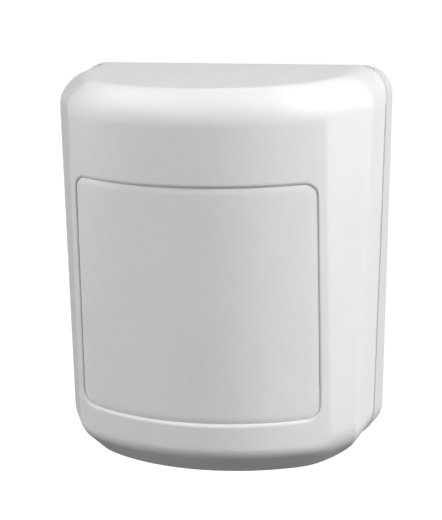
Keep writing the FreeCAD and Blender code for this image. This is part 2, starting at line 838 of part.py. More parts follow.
def lead_spots():
    return [("dim.leadRadius", "dim.sensorZ"), ("-dim.leadRadius", "dim.sensorZ"),
            ("0", "dim.sensorZ + dim.leadRadius")]


def infrared_sensor():
    flange, can = "dim.sensorFlange / 2", "dim.sensorCan / 2"
    rise = "dim.canRise"
    disc = board_rod("header_disc", "dim.sensorFlange", "dim.headerHigh", "0", "dim.sensorZ", rise)
    leads = [board_rod("header_lead_%d" % index, "dim.leadWidth",
                       "dim.boardThick + dim.canRise + dim.leadTail + dim.headerHigh / 2",
                       x, z, "-dim.boardThick - dim.leadTail")
             for index, (x, z) in enumerate(lead_spots())]
    node(fuse("pyro_header", disc, *leads), "pyro_header")

    inner = can + " - dim.canSkin"
    profile = [(inner, "0"), (flange, "0"), (flange, "dim.canSkin"), (can, "dim.canSkin"),
               (can, "dim.canHigh"), ("0", "dim.canHigh"),
               ("0", "dim.canHigh - dim.canSkin"), (inner, "dim.canHigh - dim.canSkin")]
    above = "dim.canRise + dim.headerHigh"
    cup = on_board("can_cup", profile, "0", "dim.sensorZ", above)
    aperture = board_box("can_aperture", "0", "dim.sensorZ", "dim.apertureWide",
                         "dim.apertureHigh", "2 * dim.cutPast",
                         above + " + dim.canHigh - dim.cutPast")
    node(cut("pyro_can", cup, aperture), "pyro_can")

    filter_rise = above + " + dim.canHigh - dim.canSkin - dim.filterThick"
    node(board_box("pyro_filter", "0", "dim.sensorZ", "(dim.apertureWide + 2 * dim.filterLap)",
                   "(dim.apertureHigh + 2 * dim.filterLap)", "dim.filterThick", filter_rise),
         "pyro_filter")


def sensor_guard():
    """White ring round the sensor, which keeps insects out of its view."""
    outer, bore, seat = "dim.guardWidth / 2", "dim.guardBore / 2", "dim.guardSeat / 2"
    profile = [(seat, "0"), (outer, "0"), (outer, "dim.guardHigh"), (bore, "dim.guardHigh"),
               (bore, "dim.canRise"), (seat, "dim.canRise")]
    node(on_board("sensor_guard", profile, "0", "dim.sensorZ"), "sensor_guard")


def walk_test_led():
    base = board_rod("led_base", "dim.ledWidth", "dim.ledHigh", "dim.ledX", "dim.ledZ")
    dome = doc.addObject("Part::Sphere", "led_dome")
    bind(dome, Radius="dim.ledWidth / 2")
    place(dome, "dim.ledX", BOARD_FRONT + " - dim.ledHigh", "dim.ledZ")
    rim = board_rod("led_rim", "dim.ledRim", "dim.ledRimHigh", "dim.ledX", "dim.ledZ")
    node(fuse("walk_test_led", base, dome, rim), "walk_test_led")


# ---------------------------------------------------------------- battery

CELL_Y = BOARD_FRONT + " - dim.cradleFloor - dim.cellWidth / 2"
ROOM_END = "dim.cradleRoom / 2"


def battery():
    radius, nub = "dim.cellWidth / 2", "dim.cellNub / 2"
    end = "dim.cellLength"
    rim = radius + " - dim.cellEdge"
    profile = [("0", "0"), (rim, "0"), (radius, "dim.cellEdge"),
               (radius, end + " - dim.cellEdge"), (rim, end), (nub, end),
               (nub, end + " + dim.cellNubHigh"), ("0", end + " + dim.cellNubHigh")]
    start = ROOM_END + " - dim.contactThick - dim.touchGap - dim.cellLength - dim.cellNubHigh"
    node(turned("battery", profile, start, CELL_Y, "dim.cellZ", AIM_RIGHT), "battery")


def battery_cradle():
    low = "dim.cellZ - dim.cradleBore / 2 - dim.cradleSide"
    high = "dim.cellZ + dim.cradleBore / 2 + dim.cradleSide"
    block = box("cradle_block", ("-dim.cradleHalf", "dim.cradleHalf"),
                (BOARD_FRONT + " - dim.cradleHigh", BOARD_FRONT), (low, high))
    bore = rod("cradle_bore", "dim.cradleBore", "dim.cradleRoom",
               "-" + ROOM_END, CELL_Y, "dim.cellZ", AIM_RIGHT)
    node(cut("battery_cradle", block, bore), "battery_cradle")


def battery_contacts():
    low, high = "dim.cellZ - dim.contactWide / 2", "dim.cellZ + dim.contactWide / 2"
    node(box("positive_contact", (ROOM_END + " - dim.contactThick", ROOM_END),
             ("-dim.contactTo", "-dim.contactFrom - dim.contactThick"), (low, high)), "positive_contact")

    wall, skin = "-(%s)" % ROOM_END, "-(%s - dim.contactThick)" % ROOM_END
    crest = "%s + dim.springBow - dim.touchGap"
    start, stop = "-dim.contactFrom - dim.bowStart", "-dim.contactTo + dim.bowStop"
    inner = [(skin, start), (crest % skin, CELL_Y + " + dim.bowFlat"),
             (crest % skin, CELL_Y + " - dim.bowFlat"), (skin, stop)]
    outer = [(wall, stop + " + dim.bowShift"),
             (crest % wall, CELL_Y + " - dim.bowFlat + dim.bowShift"),
             (crest % wall, CELL_Y + " + dim.bowFlat - dim.bowShift"),
             (wall, start + " - dim.bowShift")]
    strip = ([(wall, "-dim.contactFrom"), (skin, "-dim.contactFrom")] + inner
             + [(skin, "-dim.contactTo"), (wall, "-dim.contactTo")] + outer)
    node(pad("negative_contact", strip, "dim.contactWide", low, "XY_Plane"), "negative_contact")


# ---------------------------------------------------------------- tamper switch

def tamper_switch():
    spot = ("dim.tamperX", "dim.tamperZ")
    case = board_box("tamper_case", *spot, "dim.tamperBody", "dim.tamperBody", "dim.tamperHigh")
    room = board_rod("tamper_room", "dim.tamperRoom",
                     "dim.tamperHigh - dim.tamperFloor - dim.tamperLid", *spot, "dim.tamperFloor")
    mouth = board_rod("tamper_mouth", "dim.plungerWidth + 2 * dim.slideGap", "2 * dim.cutPast",
                      *spot, "dim.tamperHigh - dim.cutPast")
    node(cut("tamper_switch", case, room, mouth), "tamper_switch")

    seat = "dim.tamperFloor + dim.springRest"
    stem, flange = "dim.plungerWidth / 2", "dim.plungerFlange / 2"
    tip = "dim.tamperHigh + dim.plungerTip - (%s)" % seat
    profile = [("0", "0"), (flange, "0"), (flange, "dim.plungerFlangeHigh"),
               (stem, "dim.plungerFlangeHigh"), (stem, tip + " - dim.edgeBreak"),
               (stem + " - dim.edgeBreak", tip), ("0", tip)]
    node(on_board("tamper_plunger", profile, *spot, seat), "tamper_plunger")


def tamper_spring():
    """Coil under the plunger's flange."""
    rise = "(dim.tamperFloor + dim.springWire / 2 + dim.touchGap)"
    length = "(dim.springRest - dim.springWire - 2 * dim.touchGap)"
    coil = doc.addObject("Part::Helix", "spring_path")
    bind(coil, Height=length, Pitch=length + " / dim.springTurns", Radius="dim.springWidth / 2")
    place(coil, "dim.tamperX", "%s - %s" % (BOARD_FRONT, rise), "dim.tamperZ", AIM_FRONT)
    wire = doc.addObject("Part::Circle", "spring_wire")
    bind(wire, Radius="dim.springWire / 2")
    place(wire, "dim.tamperX + dim.springWidth / 2", "%s - %s" % (BOARD_FRONT, rise),
          "dim.tamperZ")
    sweep = doc.addObject("Part::Sweep", "tamper_spring")
    sweep.Sections = [wire]
    sweep.Spine = (coil, [])
    sweep.Solid = True
    sweep.Frenet = True
    node(sweep, "tamper_spring")


# ---------------------------------------------------------------- button and jumper

def learn_button():
    spot = ("dim.buttonX", "dim.buttonZ")
    case = board_box("button_case", *spot, "dim.buttonBody", "dim.buttonBody", "dim.buttonHigh")
    well = board_rod("button_well", "dim.buttonCap + 2 * dim.slideGap", "dim.buttonHigh",
                     *spot, "dim.buttonHigh - dim.buttonDeep - dim.buttonTravel")
    node(cut("learn_button_case", case, well), "learn_button_case")

    radius = "dim.buttonCap / 2"
    top = "dim.buttonDeep + dim.buttonProud"
    profile = [("0", "0"), (radius, "0"), (radius, top + " - dim.edgeBreak"),
               (radius + " - dim.edgeBreak", top), ("0", top)]
    node(on_board("learn_button_cap", profile, *spot, "dim.buttonHigh - dim.buttonDeep"),
         "learn_button_cap")


def pin_spots():
    return ["dim.jumperX - dim.pinPitch / 2", "dim.jumperX + dim.pinPitch / 2"]


def pin_boxes(name, width, high, rise):
    return [board_box("%s_%d" % (name, index), "(%s)" % x, "dim.jumperZ", width, width, high, rise)
            for index, x in enumerate(pin_spots())]


def jumper():
    tail = "dim.boardThick + dim.pinTail"
    pins = pin_boxes("jumper_pin", "dim.pinWidth", "dim.pinHigh + " + tail, "-(%s)" % tail)
    node(group("jumper_pins", *pins), "jumper_pins")

    block = board_box("jumper_block", "dim.jumperX", "dim.jumperZ", "(2 * dim.pinPitch)",
                      "dim.pinPitch", "dim.headerBlock")
    holes = pin_boxes("jumper_block_hole", "dim.pinWidth",
                      "dim.headerBlock + 2 * dim.cutPast", "-dim.cutPast")
    node(cut("jumper_header", block, *holes), "jumper_header")

    rise = "dim.headerBlock + dim.slideGap"
    shunt = board_box("jumper_shunt", "dim.jumperX", "dim.jumperZ", "(2 * dim.pinPitch - dim.slideGap)",
                      "(dim.pinPitch - dim.slideGap)", "dim.jumperCapHigh", rise)
    sockets = pin_boxes("jumper_socket", "(dim.pinWidth + 2 * dim.slideGap)",
                        "dim.pinHigh - dim.headerBlock + dim.cutPast + dim.slideGap",
                        rise + " - dim.cutPast")
    node(cut("jumper_cap", shunt, *sockets), "jumper_cap")


# ---------------------------------------------------------------- other board parts

def microcontroller():
    spot = ("dim.chipX", "dim.chipZ")
    block = board_box("chip_block", *spot, "dim.chipSide", "dim.chipSide", "dim.chipHigh",
                      "dim.chipStand")
    dot = board_rod("chip_dot", "dim.dotWidth", "dim.cutPast",
                    "dim.chipX - dim.chipSide / 2 + dim.dotInset",
                    "dim.chipZ + dim.chipSide / 2 - dim.dotInset",
                    "dim.chipStand + dim.chipHigh - dim.dotDeep")
    node(cut("microcontroller", block, dot), "microcontroller")


def microcontroller_leads():
    """Two rows of flat leads beside the chip."""
    leads = []
    first = "dim.chipZ - (dim.chipLeads - 1) / 2 * dim.chipPitch"
    reach = "(dim.chipSide / 2 + dim.chipLeadOut / 2)"
    for side in (-1, 1):
        for index in range(int(value("chipLeads"))):
            x = "(dim.chipX + %d * %s)" % (side, reach)
            z = "(%s + %d * dim.chipPitch)" % (first, index)
            leads.append(board_box("chip_lead_%d_%d" % (side, index), x, z, "dim.chipLeadOut",
                                   "dim.chipLeadWide", "dim.chipLeadThick"))
    node(group("microcontroller_leads", *leads), "microcontroller_leads")


def radio_module():
    spot = ("dim.radioX", "dim.radioZ")
    node(board_box("radio_board", *spot, "dim.radioWide", "dim.radioTall", "dim.radioThick"),
         "radio_board")
    middle = ("dim.radioX", "dim.radioZ - dim.shieldDrop")
    shield = board_box("shield_block", *middle, "dim.shieldSide", "dim.shieldSide",
                       "dim.shieldHigh", "dim.radioThick")
    inside = "(dim.shieldSide - 2 * dim.shieldSkin)"
    hollow = board_box("shield_hollow", *middle, inside, inside,
                       "dim.shieldHigh - dim.shieldSkin + dim.cutPast",
                       "dim.radioThick - dim.cutPast")
    node(cut("radio_shield", shield, hollow), "radio_shield")


def crystal():
    half = "dim.crystalLong / 2"
    can = front_pad("crystal_can", half, half, "-dim.crystalWide / 2", "dim.crystalWide / 2",
                    "dim.crystalHigh", corner="dim.crystalRound")
    place(can, "dim.crystalX", BOARD_FRONT, "dim.crystalZ")
    node(can, "crystal")


def capacitors():
    radius, tall = "dim.canCapWidth / 2", "dim.canCapHigh"
    groove = "dim.canCapGroove"
    profile = [("0", "0"), (radius, "0"), (radius, groove),
               (radius + " - dim.canCapNip", groove + " + dim.canCapNip"),
               (radius, groove + " + 2 * dim.canCapNip"), (radius, tall + " - dim.edgeBreak"),
               (radius + " - dim.edgeBreak", tall), ("0", tall)]
    cans = [on_board("capacitor_%d" % index, profile,
                     "dim.canCapX + %d * dim.canCapStep" % index, "dim.canCapZ")
            for index in range(2)]
    node(group("capacitors", *cans), "capacitors")


def chip_parts():
    """Small resistors and capacitors, in two rows below the sensor."""
    chips = []
    for row in range(2):
        level = "(dim.chipRowZ - %d * dim.chipStep)" % row
        for index in range(-2, 3):
            x = "(%d * dim.chipStep)" % index
            chips.append(board_box("chip_%d_%d" % (row, index + 2), x, level,
                                   "dim.smallLong", "dim.smallWide", "dim.smallHigh"))
    node(group("chip_parts", *chips), "chip_parts")


def antenna_wire():
    spot = ("dim.antennaX", "dim.antennaLow")
    leg = board_rod("antenna_leg", "dim.antennaWide", "dim.antennaRise", *spot)
    elbow = doc.addObject("Part::Sphere", "antenna_elbow")
    bind(elbow, Radius="dim.antennaWide / 2")
    place(elbow, "dim.antennaX", BOARD_FRONT + " - dim.antennaRise", "dim.antennaLow")
    run = rod("antenna_run", "dim.antennaWide", "dim.antennaLong", "dim.antennaX",
              BOARD_FRONT + " - dim.antennaRise", "dim.antennaLow")
    node(fuse("antenna_wire", leg, elbow, run), "antenna_wire")


# ---------------------------------------------------------------- cover lock

def cover_lock():
    """Quarter-turn lock: slotted head, grooved shank and a cross bar at the tip."""
    shank, groove = "dim.lockShank / 2", "dim.clipGroove / 2"
    head = "dim.lockHead / 2"
    floor = "dim.wall + dim.clipGap"
    ceiling = floor + " + dim.clipThick + 2 * dim.clipSlack"
    end = "dim.lockBarLow + dim.bodyHeight / 2 + dim.clipThick"
    profile = [("0", "0"), (head, "0"), (head, "dim.lockHeadHigh"), (shank, "dim.lockHeadHigh"),
               (shank, floor), (groove, floor), (groove, ceiling), (shank, ceiling),
               (shank, end), ("0", end)]
    stem = turned("lock_stem", profile, "0", "-dim.lockY", FOOT_Z)
    bar_block = box("lock_bar_block", ("-dim.lockBarWide / 2", "dim.lockBarWide / 2"),
                    ("-dim.lockY - dim.lockBarLong / 2", "-dim.lockY + dim.lockBarLong / 2"),
                    ("dim.lockBarLow", "dim.lockBarHigh"))
    bar_round = rod("lock_bar_round", "dim.lockBarLong", "dim.lockBarHigh - dim.lockBarLow",
                    "0", "-dim.lockY", "dim.lockBarLow")
    bar = common("lock_bar", bar_block, bar_round)
    drive = box("lock_drive", ("-dim.driveSlot / 2", "dim.driveSlot / 2"),
                ("-dim.lockY - dim.driveReach", "-dim.lockY + dim.driveReach"),
                (FOOT_Z + " - dim.cutPast", FOOT_Z + " + dim.driveDeep"))
    node(cut("cover_lock", fuse("lock_body", stem, bar), drive), "cover_lock")


def lock_clip():
    """Open ring snapped into the lock's groove, inside the cover."""
    bore, outer = "dim.clipGroove / 2 + dim.clipSlack", "dim.clipWidth / 2"
    profile = [(bore, "0"), (outer, "0"), (outer, "dim.clipThick"), (bore, "dim.clipThick")]
    ring = turned("clip_ring", profile, "0", "-dim.lockY",
                  FOOT_Z + " + dim.wall + dim.clipGap + dim.clipSlack")
    mouth = box("clip_mouth", ("-dim.clipMouth", "dim.clipMouth"),
                ("-dim.lockY", "-dim.lockY + dim.clipWidth"),
                (FOOT_Z + " + dim.wall", FOOT_Z + " + dim.wall + 2 * dim.cutPast"))
    node(cut("lock_clip", ring, mouth), "lock_clip")


# ---------------------------------------------------------------- build and write

def check_document():
    """Stop if any object failed or any sub-part is empty or invalid."""
    for item in doc.Objects:
        if "Invalid" in item.State or "Error" in item.State:
            raise SystemExit("failed object: %s %s" % (item.Name, item.State))
    for item in nodes:
        if item.Shape.isNull() or not item.Shape.isValid() or not item.Shape.Solids:
            raise SystemExit("bad sub-part: " + item.Label)


def write_parts():
    os.makedirs("parts", exist_ok=True)
    for item in nodes:
        item.Shape.exportStep(os.path.join("parts", item.Label + ".step"))
        print("%-22s %2d solids  %10.2f mm3" % (item.Label, len(item.Shape.Solids),
                                               item.Shape.Volume))


fill_sheet()
outer_form, inner_form, front_zone = build_forms()
rear_base(front_zone)
front_cover(outer_form, inner_form, front_zone)
fresnel_lens()
lens_retainer()
circuit_board()
board_screws()
infrared_sensor()
sensor_guard()
walk_test_led()
battery()
battery_cradle()
battery_contacts()
tamper_switch()
tamper_spring()
learn_button()
jumper()
microcontroller()
microcontroller_leads()
radio_module()
crystal()
capacitors()
chip_parts()
antenna_wire()
cover_lock()
lock_clip()
doc.recompute()
check_document()
write_parts()
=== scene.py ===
"""Looks of a wall-mounted passive infrared motion sensor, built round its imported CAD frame."""

import json
import math

import bmesh
import bpy
import numpy as np
from mathutils import Matrix, Vector


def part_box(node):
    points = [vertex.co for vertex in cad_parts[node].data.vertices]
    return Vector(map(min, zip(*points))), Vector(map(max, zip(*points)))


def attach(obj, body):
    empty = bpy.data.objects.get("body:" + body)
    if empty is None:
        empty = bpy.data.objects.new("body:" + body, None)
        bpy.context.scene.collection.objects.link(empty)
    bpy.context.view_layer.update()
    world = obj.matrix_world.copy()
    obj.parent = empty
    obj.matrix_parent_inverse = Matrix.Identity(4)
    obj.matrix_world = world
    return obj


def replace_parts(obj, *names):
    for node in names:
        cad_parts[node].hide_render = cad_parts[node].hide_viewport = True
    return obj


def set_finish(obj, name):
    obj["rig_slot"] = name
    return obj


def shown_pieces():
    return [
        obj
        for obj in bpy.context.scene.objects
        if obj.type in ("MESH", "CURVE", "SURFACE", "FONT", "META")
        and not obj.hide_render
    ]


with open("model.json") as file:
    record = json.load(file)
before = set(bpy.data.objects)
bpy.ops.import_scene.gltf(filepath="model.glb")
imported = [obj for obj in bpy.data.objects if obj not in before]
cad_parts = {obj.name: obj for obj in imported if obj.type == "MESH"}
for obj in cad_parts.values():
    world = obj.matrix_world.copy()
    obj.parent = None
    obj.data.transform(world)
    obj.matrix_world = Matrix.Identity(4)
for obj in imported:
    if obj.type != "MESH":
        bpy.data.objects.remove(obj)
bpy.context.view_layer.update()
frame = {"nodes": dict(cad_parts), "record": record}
NODES = frame["nodes"]
MM = 0.001

# Sizes of the case in millimetres, the same as in the CAD source apart from the lens gap,
# which is nearly closed here and opens into soft rims.
HEIGHT = 80.0
HALF_FOOT, HALF_TOP = 31.5, 34.55       # half widths of the back outline
DRAFT, END_DRAFT = math.radians(1.57), math.radians(0.735)
FRONT_R = 41.5                          # radius of the bowed front
DEPTH_TOP, DEPTH_FOOT = 37.75, 39.6
LEAN = math.atan((DEPTH_FOOT - DEPTH_TOP) / HEIGHT)
AXIS_Y = FRONT_R - (DEPTH_TOP + DEPTH_FOOT) / 2
SIDE_TURN = math.radians(29.0)          # how far the side bevels face forward of sideways
REACH_TOP, REACH_FOOT = 37.2, 38.1
BEVEL_DEEP = 4.4                        # how far the top bevels lean back
BEVELS = (5.5, 4.6)                     # heights of the front's bevels, top and foot
SIDE_BEVELS = (4.4, 5.5)
ROUND_TOP, ROUND_FOOT = 7.0, 7.1        # outline corners
FACE_ROUND, MORE_AT_FOOT = 3.0, 9.0     # where front and side bevels meet
EDGE_ROUND, MORE_AT_TOP, MORE_AT_CORNER = 1.3, 1.2, 1.5   # where they meet the flanks
BLENDS = (9.0, 3.6)                     # roundings where the bevels start
SIDE_BLENDS = (5.0, 8.0)
WALL = 2.0
WINDOW_HALF, WINDOW_LOW, WINDOW_HIGH, WINDOW_ROUND = 25.55, -27.8, 20.45, 2.6
REBATE, THROUGH = 1.2, 2.2              # depth of the lens seat and its ledge width
LENS_GAP, LENS_RECESS, LENS_THICK = 0.03, 0.2, 0.95
LENS_RIM, LENS_DROP = 1.5, 0.2          # rounded edge of the lens face, across and deep
RIM_EASE, RIM_DROP, SEAM_EASE = 0.8, 0.34, 0.08   # eased edges of the window and the seam
SKIRT_GAP, SKIRT_THICK, SKIRT_REACH = 0.2, 1.0, 3.9
SEAM = ((39.0, 1.8), (32.5, 5.1), (-40.0, 7.7))   # height and depth of the seam
LOCK_Y, LOCK_POCKET, LOCK_SEAT, LOCK_HOLE = -13.0, 8.8, 1.1, 4.3
LOCK_SLOT_LONG, LOCK_SLOT_WIDE = 7.6, 3.4
ANCHOR_Y = -14.0                        # depth from which the form's skin is found
BACK_FRAME = (33.0, -40.0, 40.0, 7.5)   # rounded rectangle the skin's rows head for
STRAIGHT, CORNER = 56, 20               # steps along each side and corner of an outline
SEAT_EASE, INNER_EASE = 0.15, 0.12      # small roundings inside the cover
RIGHT_ANGLE = math.pi / 2


# ---------------------------------------------------------------- the case's form

def round_max(a, b, radius, angle):
    """Depth outside two walls in common, with the edge between them rounded."""
    c, s = math.cos(angle), math.sin(angle)
    u, v = a + radius, b + radius
    arc = np.sqrt(np.maximum(u * u + v * v - 2 * u * v * c, 0)) / s - radius
    in_arc = (u > v * c) & (v > u * c) & (u > 0) & (v > 0)
    return np.where(in_arc, arc, np.maximum(a, b))


def smooth(share):
    """Share from 0 to 1, with a soft start and end."""
    share = np.clip(share, 0, 1)
    return share * share * (3 - 2 * share)


def bevelled(across, z, inset, bevels, blends):
    """A front wall at zero of across, leaning back above and, by 45 degrees, below."""
    lean = math.atan(BEVEL_DEEP / bevels[0])
    high, low = HEIGHT / 2 - bevels[0], HEIGHT / 2 - bevels[1]
    top = across * math.cos(lean) + (z - high) * math.sin(lean) + inset
    foot = (across - z - low) / math.sqrt(2) + inset
    wall = round_max(across + inset, top, blends[0], lean)
    return round_max(wall, foot, blends[1], math.pi / 4)


def outside(x, y, z, inset, eased):
    """Signed distance outside the case's form, drawn in by inset. Eased rounds its edges."""
    small = 0.05
    blends, side_blends = (BLENDS, SIDE_BLENDS) if eased else ((small, small), (small, small))
    turned_y = (y - AXIS_Y) * math.cos(LEAN) - z * math.sin(LEAN)
    turned_z = (y - AXIS_Y) * math.sin(LEAN) + z * math.cos(LEAN)
    front = bevelled(np.hypot(x, turned_y) - FRONT_R, turned_z, inset, BEVELS, blends)
    low, high = SIDE_BEVELS[1] - HEIGHT / 2, HEIGHT / 2 - SIDE_BEVELS[0]
    share = np.clip((z - low) / (high - low), 0, 1)
    reach = REACH_FOOT + (REACH_TOP - REACH_FOOT) * share
    side = np.abs(x) * math.cos(SIDE_TURN) - y * math.sin(SIDE_TURN) - reach
    side = bevelled(side, z, inset, SIDE_BEVELS, side_blends)
    near_foot = smooth((-z - 26) / 12)
    face_round = FACE_ROUND + MORE_AT_FOOT * near_foot if eased else small
    face = round_max(front, side, face_round, math.radians(20))

    slope = (HALF_TOP - HALF_FOOT) / HEIGHT
    flank = (np.abs(x) - (HALF_TOP + HALF_FOOT) / 2 - slope * z) / math.hypot(1, slope)
    flank = flank * math.cos(DRAFT) - y * math.sin(DRAFT) + inset
    lean_in = inset - y * math.sin(END_DRAFT)
    top = (z - HEIGHT / 2) * math.cos(END_DRAFT) + lean_in
    foot = (-z - HEIGHT / 2) * math.cos(END_DRAFT) + lean_in
    tilt = math.atan(slope)
    rim = round_max(flank, top, ROUND_TOP - inset, RIGHT_ANGLE + tilt)
    rim = round_max(rim, foot, ROUND_FOOT - inset, RIGHT_ANGLE - tilt)
    if not eased:
        return np.maximum(rim, face)
    near_top = smooth((z - 31) / 6)
    near_corner = near_top * smooth((np.abs(x) - 12) / 16)
    edge_round = EDGE_ROUND + MORE_AT_TOP * near_top + MORE_AT_CORNER * near_corner
    return round_max(rim, face, edge_round, math.radians(38))


def front_y(x, z, radius):
    """Where a tube of that radius about the leaning axis meets a line along Y."""
    return AXIS_Y + (z * math.sin(LEAN) - np.sqrt(radius ** 2 - x ** 2)) / math.cos(LEAN)


def seam_y(z):
    """Where the cover meets the base, seen from the side."""
    heights = [point[0] for point in SEAM][::-1]
    depths = [point[1] for point in SEAM][::-1]
    return -np.interp(z, heights, depths)


# ---------------------------------------------------------------- meshes

def rounded_frame(half, low, high, radius, straight, corner):
    """Points and outward normals round a rectangle with rounded corners, from its middle top."""
    points, normals = [], []
    centres = ((half - radius, high - radius), (half - radius, low + radius),
               (radius - half, low + radius), (radius - half, high - radius))
    for index, (cx, cz) in enumerate(centres):
        start = RIGHT_ANGLE * (1 - index)
        for step in range(corner + 1):
            turn = start - RIGHT_ANGLE * step / corner
            normal = (math.cos(turn), math.sin(turn))
            normals.append(normal)
            points.append((cx + radius * normal[0], cz + radius * normal[1]))
        following = centres[(index + 1) % 4]
        turn = start - RIGHT_ANGLE
        normal = (math.cos(turn), math.sin(turn))
        first = (cx + radius * normal[0], cz + radius * normal[1])
        last = (following[0] + radius * normal[0], following[1] + radius * normal[1])
        for step in range(1, straight):
            share = step / straight
            points.append(tuple(a + (b - a) * share for a, b in zip(first, last)))
            normals.append(normal)
    return np.array(points), np.array(normals)


def mesh_object(name, verts, faces, slot, body, sharp=35.0):
    """New smooth-shaded piece from millimetre points, riding on a body."""
    mesh = bpy.data.meshes.new(name)
    mesh.from_pydata([tuple(v) for v in np.asarray(verts, float) * MM], [], faces)
    mesh.validate()
    bm = bmesh.new()
    bm.from_mesh(mesh)
    bmesh.ops.remove_doubles(bm, verts=bm.verts, dist=1e-7)
    bmesh.ops.recalc_face_normals(bm, faces=bm.faces)
    bm.to_mesh(mesh)
    bm.free()
    return finished_piece(name, mesh, slot, body, sharp)


def finished_piece(name, mesh, slot, body, sharp):
    """Smooth-shaded piece from a mesh, riding on a body."""
    mesh.shade_smooth()
    mesh.set_sharp_from_angle(angle=math.radians(sharp))
    piece = bpy.data.objects.new(name, mesh)
    bpy.context.scene.collection.objects.link(piece)
    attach(piece, body)
    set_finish(piece, slot)
    return piece


def ring_faces(around, along, closed):
    """Quads between neighbouring rings of points stored ring by ring."""
    faces = []
    for i in range(around):
        j = (i + 1) % around
        last = along if closed else along - 1
        for k in range(last):
            m = (k + 1) % along
            faces.append((i * along + k, j * along + k, j * along + m, i * along + m))
    return faces


def cross_wall(anchor, heading, angles, inset, eased):
    """Points where rays from inside the case leave its form, for each heading and angle."""
    ax, az = anchor[:, 0][:, None], anchor[:, 1][:, None]
    dx = heading[:, 0][:, None] * np.cos(angles)[None, :]
    dz = heading[:, 1][:, None] * np.cos(angles)[None, :]
    dy = -np.sin(angles)[None, :] + 0 * dx
    near, far = np.zeros_like(dx), np.full_like(dx, 60.0)
    for _ in range(36):
        middle = (near + far) / 2
        out = outside(ax + dx * middle, ANCHOR_Y + dy * middle, az + dz * middle, inset, eased) > 0
        far = np.where(out, middle, far)
        near = np.where(out, near, middle)
    return np.stack([ax + dx * near, ANCHOR_Y + dy * near, az + dz * near], axis=-1)


def resample(line, count, trims):
    """Evenly spaced points along a line, leaving out a set length at each end."""
    reach = np.r_[0, np.cumsum(np.linalg.norm(np.diff(line, axis=0), axis=1))]
    wanted = np.linspace(trims[0], reach[-1] - trims[1], count)
    return np.stack([np.interp(wanted, reach, line[:, k]) for k in range(3)], axis=1)


def skin(anchor, heading, inset, eased, count, trims):
    """Rows of points over the form from the window's edge back to the seam, and their ends."""
    angles = np.linspace(RIGHT_ANGLE, math.radians(-72), 260)
    sheet = cross_wall(anchor, heading, angles, inset, eased)
    rows, stops = [], []
    for line in sheet:
        ahead = line[:, 1] - seam_y(line[:, 2])
        stop = int(np.argmax(ahead > 0))
        share = ahead[stop - 1] / (ahead[stop - 1] - ahead[stop])
        last = line[stop - 1] + (line[stop] - line[stop - 1]) * share
        rows.append(resample(np.vstack([line[:stop], last]), count, trims))
        stops.append(last)
    return np.array(rows), sheet[:, 0], np.array(stops)


def ease(before, corner, after, steps):
    """Small rounding of a corner, as a curve from the point before to the point after."""
    t = np.linspace(0, 1, steps)[:, None]
    return list(before * (1 - t) ** 2 + corner * 2 * t * (1 - t) + after * t * t)


def toward(start, end, length):
    """The point a set length from start on the way to end."""
    way = end - start
    return start + way / np.linalg.norm(way) * length


def cover_shell():
    """The cover: eased outside, window seat, plain inside and its edge along the seam."""
    window = (WINDOW_HALF, WINDOW_LOW, WINDOW_HIGH, WINDOW_ROUND)
    edge, normal = rounded_frame(*window, STRAIGHT, CORNER)
    heading = rounded_frame(*BACK_FRAME, STRAIGHT, CORNER)[0] - edge
    heading /= np.linalg.norm(heading, axis=1)[:, None]
    outer, rims, stops = skin(edge, heading, 0.0, True, 120, (RIM_EASE, SEAM_EASE))
    inner, _, inner_stops = skin(edge, heading, WALL, False, 44, (0.0, INNER_EASE))
    ledge = edge - THROUGH * normal
    loops = []
    for i in range(len(edge)):
        (x, z), (lx, lz) = edge[i], ledge[i]
        seat = np.array((x, front_y(x, z, FRONT_R - REBATE), z))
        ledge_out = np.array((lx, front_y(lx, lz, FRONT_R - REBATE), lz))
        ledge_in = np.array((lx, front_y(lx, lz, FRONT_R - WALL), lz))
        loop = [ledge_in]
        loop += ease(toward(ledge_out, ledge_in, SEAT_EASE), ledge_out,
                     toward(ledge_out, seat, SEAT_EASE), 4)
        loop += ease(toward(seat, ledge_out, SEAT_EASE), seat,
                     toward(seat, rims[i], SEAT_EASE), 4)
        middle = (rims[i] + outer[i, 0]) / 2
        loop += ease(toward(rims[i], seat, RIM_DROP), middle, outer[i, 0], 9)[:-1]
        loop += list(outer[i])
        loop += ease(outer[i, -1], stops[i], toward(stops[i], inner_stops[i], SEAM_EASE), 6)[1:]
        loop += ease(toward(inner_stops[i], stops[i], INNER_EASE), inner_stops[i],
                     inner[i, -1], 4)
        loop += list(inner[i, ::-1][1:])
        loops.append(loop)
    points = np.array(loops)
    around, along = points.shape[:2]
    faces = ring_faces(around, along, True)
    shell = mesh_object("cover_shell", points.reshape(-1, 3), faces, "housing", "cover")
    cut_away(shell, lock_cutters())
    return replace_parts(shell, "front_cover")


def upright_cutter(outline, low, high):
    """Prism on an outline of x and y, to be cut away from a piece."""
    count = len(outline)
    verts = [Vector((x, y, z)) * MM for z in (low, high) for x, y in outline]
    faces = [tuple(range(count))[::-1], tuple(range(count, 2 * count))]
    faces += [(i, (i + 1) % count, (i + 1) % count + count, i + count) for i in range(count)]
    mesh = bpy.data.meshes.new("cutter")
    mesh.from_pydata(verts, [], faces)
    cutter = bpy.data.objects.new("cutter", mesh)
    bpy.context.scene.collection.objects.link(cutter)
    return cutter


def cut_away(piece, cutters):
    """Take the cutters out of a piece."""
    for cutter in cutters:
        change = piece.modifiers.new("cut", "BOOLEAN")
        change.operation = "DIFFERENCE"
        change.solver = "EXACT"
        change.object = cutter
    seen = piece.evaluated_get(bpy.context.evaluated_depsgraph_get())
    mesh = bpy.data.meshes.new_from_object(seen)
    mesh.name = piece.name
    piece.modifiers.clear()
    piece.data = mesh
    piece.data.set_sharp_from_angle(angle=math.radians(35))
    for cutter in cutters:
        bpy.data.objects.remove(cutter)


